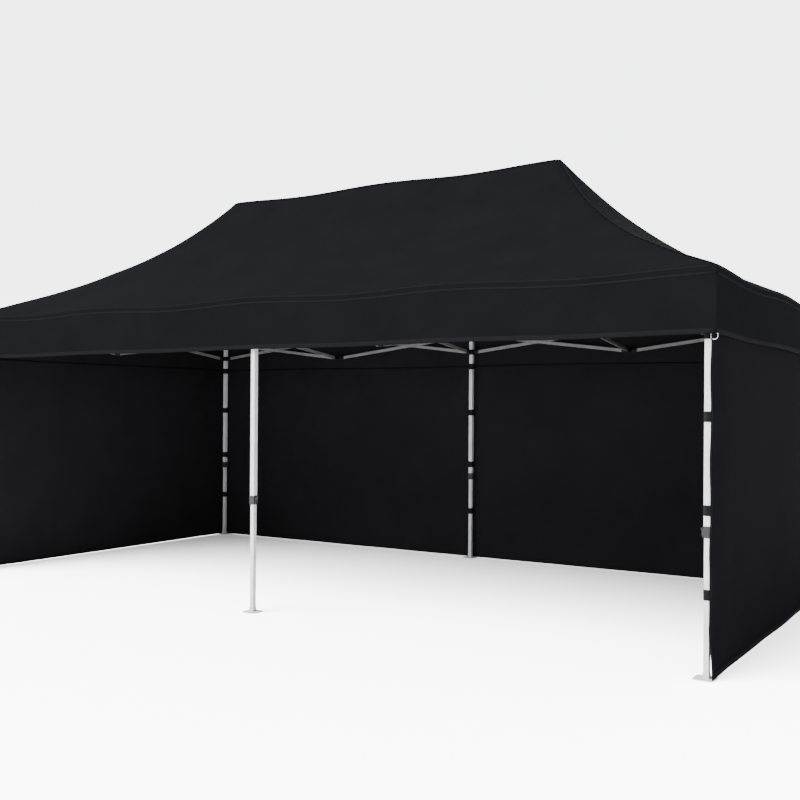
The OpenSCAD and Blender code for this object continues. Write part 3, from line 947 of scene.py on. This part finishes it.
# ---------------------------------------------------------------- rings at the valance's corners
def ring(name, centre, radius, wire, axis, mat, home, carriers):
    """A D-shaped wire ring: an arc below a straight bar."""
    path = [(radius * math.cos(t), radius * math.sin(t)) for t in np.linspace(math.pi, 2 * math.pi, 17)]
    path += [(radius * (1 - 2 * f), 0.012) for f in np.linspace(0, 1, 6)]
    n, seg = len(path), 8
    verts, faces = [], []
    for i, (u, w) in enumerate(path):
        p0, p1 = np.array(path[i - 1]), np.array(path[(i + 1) % n])
        t = (p1 - p0) / np.linalg.norm(p1 - p0)
        nrm = np.array([t[1], -t[0]])
        for k in range(seg):
            a = 2 * math.pi * k / seg
            q = np.array([u, w]) + nrm * wire * math.cos(a)
            out = np.cross(axis, (0, 0, 1)) * wire * math.sin(a)
            verts.append(np.array(centre) + np.array(axis) * q[0] + np.array([0, 0, q[1]]) + out)
    for i in range(n):
        for k in range(seg):
            m, j = (k + 1) % seg, (i + 1) % n
            faces.append((i * seg + k, i * seg + m, j * seg + m, j * seg + k))
    ob = new_mesh(name, verts, faces, mat)
    follow(ob, home, carriers)
    return ob


for sx in (-1, 1):
    for sy in (-1, 1):
        name = f"{ENDS[sy]}_{SIDES[sx]}"
        carriers = {leg(sx, sy): 1.0}
        c = (sx * (HALF_L - 0.012), sy * (HALF_W - 0.011), HEM_Z - 0.011)
        ring(f"guy_ring_{name}", c, 0.017, 0.0015, (1.0, 0, 0), ZINC, leg(sx, sy), carriers)
        z = np.linspace(HEM_Z - 0.002, HEM_Z + 0.06, 8)
        p = np.column_stack([np.full(8, c[0]), np.full(8, c[1]), z])
        o = np.tile((0.0, float(sy), 0.0), (8, 1))
        strip(f"ring_tab_{name}", p, o, 0.024, WEBBING, leg(sx, sy), lambda q: carriers, down=np.array([1.0, 0, 0]))

# ---------------------------------------------------------------- studio
FLOOR_HALF = 400.0
floor_paint = moulded("studio_floor_paint", (0.94, 0.94, 0.945), (0.955, 0.955, 0.96), (0.55, 0.65))
floor_corners = [(x * FLOOR_HALF, y * FLOOR_HALF, 0) for x, y in ((-1, -1), (1, -1), (1, 1), (-1, 1))]
floor = new_mesh("studio_floor", floor_corners, [(0, 1, 2, 3)], floor_paint, False)

world = bpy.data.worlds.new("studio")
bpy.context.scene.world = world
world.use_nodes = True
sky = world.node_tree.nodes["Background"]
sky.inputs["Color"].default_value = (0.965, 0.975, 1.0, 1)
direction = world.node_tree.nodes.new("ShaderNodeTexCoord")
direction_z = world.node_tree.nodes.new("ShaderNodeSeparateXYZ")
glow = world.node_tree.nodes.new("ShaderNodeMapRange")
glow.interpolation_type = "SMOOTHSTEP"
for key, value in (("From Min", 0.0), ("From Max", 0.11), ("To Min", 12.0), ("To Max", 4.7)):
    glow.inputs[key].default_value = value
world.node_tree.links.new(direction.outputs["Generated"], direction_z.inputs[0])
world.node_tree.links.new(direction_z.outputs["Z"], glow.inputs["Value"])
world.node_tree.links.new(glow.outputs["Result"], sky.inputs["Strength"])


def area_light(name, at, toward, size, power):
    data = bpy.data.lights.new(name, "AREA")
    data.shape = "RECTANGLE"
    data.size, data.size_y = size
    data.energy = power
    ob = bpy.data.objects.new(name, data)
    ob.location = at
    ob.rotation_euler = (Vector(toward) - Vector(at)).to_track_quat("-Z", "Y").to_euler()
    bpy.context.scene.collection.objects.link(ob)
    return ob


def sun(name, azimuth, elevation, strength, softness):
    data = bpy.data.lights.new(name, "SUN")
    data.energy = strength
    data.angle = math.radians(softness)
    ob = bpy.data.objects.new(name, data)
    a, e = math.radians(azimuth), math.radians(elevation)
    towards = Vector((math.sin(a) * math.cos(e), math.cos(a) * math.cos(e), math.sin(e)))
    ob.rotation_euler = towards.to_track_quat("Z", "Y").to_euler()
    bpy.context.scene.collection.objects.link(ob)


sun("key", 208, 44, 30.0, 50)
area_light("fill", (0, 0.0, 1.66), (0, 0, 0), (5.4, 2.4), 50).visible_camera = False

# ---------------------------------------------------------------- camera
PX, FRAME_PX, SENSOR = 1003.8, 800.0, 36.0
cam_data = bpy.data.cameras.new("camera")
cam_data.sensor_width = SENSOR
cam_data.lens = PX / FRAME_PX * SENSOR
cam_data.shift_x = -0.0279
cam_data.shift_y = 0.0104
cam_data.clip_end = 200
cam = bpy.data.objects.new("camera", cam_data)
bpy.context.scene.collection.objects.link(cam)
cam.location = (4.367, -6.411, 1.324)
YAW, PITCH, ROLL = math.radians(31.85), math.radians(0.04), math.radians(0.40)
turn = Euler((math.pi / 2 + PITCH, 0, YAW), "XYZ").to_matrix() @ Euler((0, 0, ROLL)).to_matrix()
cam.rotation_euler = turn.to_euler()
bpy.context.scene.camera = cam
